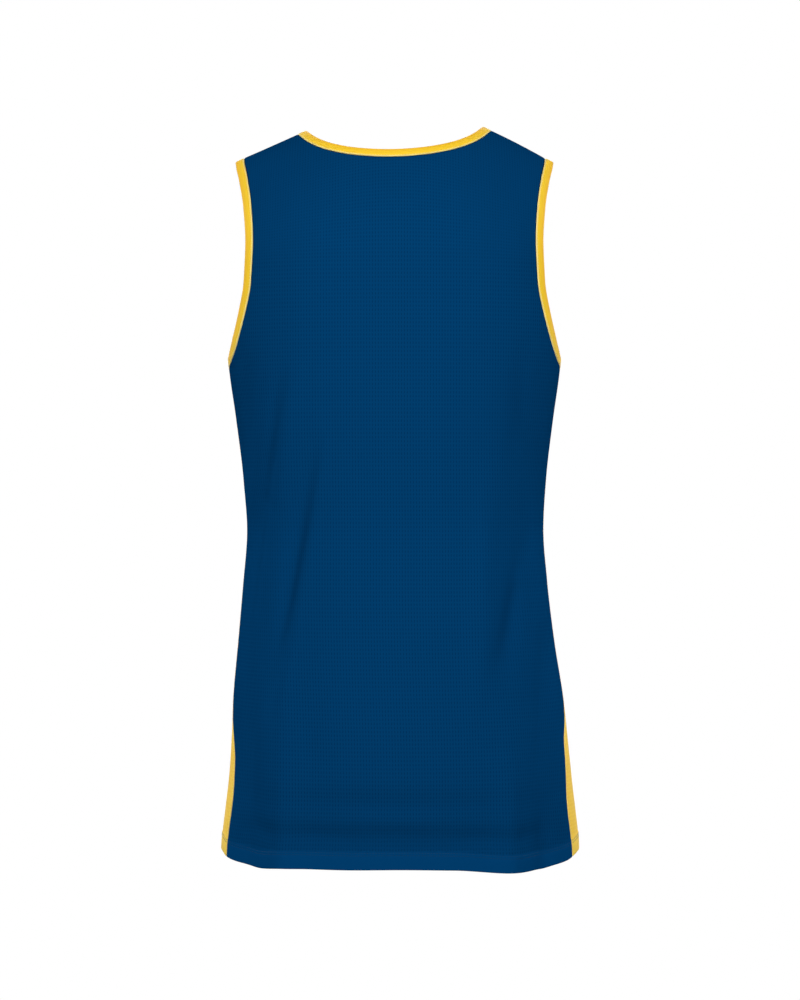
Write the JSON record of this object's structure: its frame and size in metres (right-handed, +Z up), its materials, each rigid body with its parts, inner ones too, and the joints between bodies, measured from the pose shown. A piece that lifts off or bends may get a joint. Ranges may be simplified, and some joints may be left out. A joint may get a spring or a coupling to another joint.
{
  "type": "reversible basketball jersey",
  "caption": "Sleeveless reversible basketball jersey in mesh knit, filled out as worn, with bound neck and armholes, contrasting side inserts and a turned hem.",
  "frame": {"origin": "midway between the two points where the neck meets the shoulder line, where the wearer's shoulders hold the jersey up", "axes": "+Z up along the body, the front faces -Y, +X to the wearer's left"},
  "size_m": [0.3719, 0.2261, 0.7634],
  "materials": {
    "mesh_knit_navy": "matt polyester mesh knit, navy",
    "mesh_knit_yellow": "matt polyester mesh knit, warm yellow",
    "binding_yellow": "smooth elastic binding, warm yellow"
  },
  "bodies": {
    "root": {"back_panel": "mesh_knit_navy", "front_panel": "mesh_knit_navy", "side_panel_left": "mesh_knit_yellow", "side_panel_right": "mesh_knit_yellow", "neck_binding": "binding_yellow", "armhole_binding_left": "binding_yellow", "armhole_binding_right": "binding_yellow"}
  },
  "joints": []
}
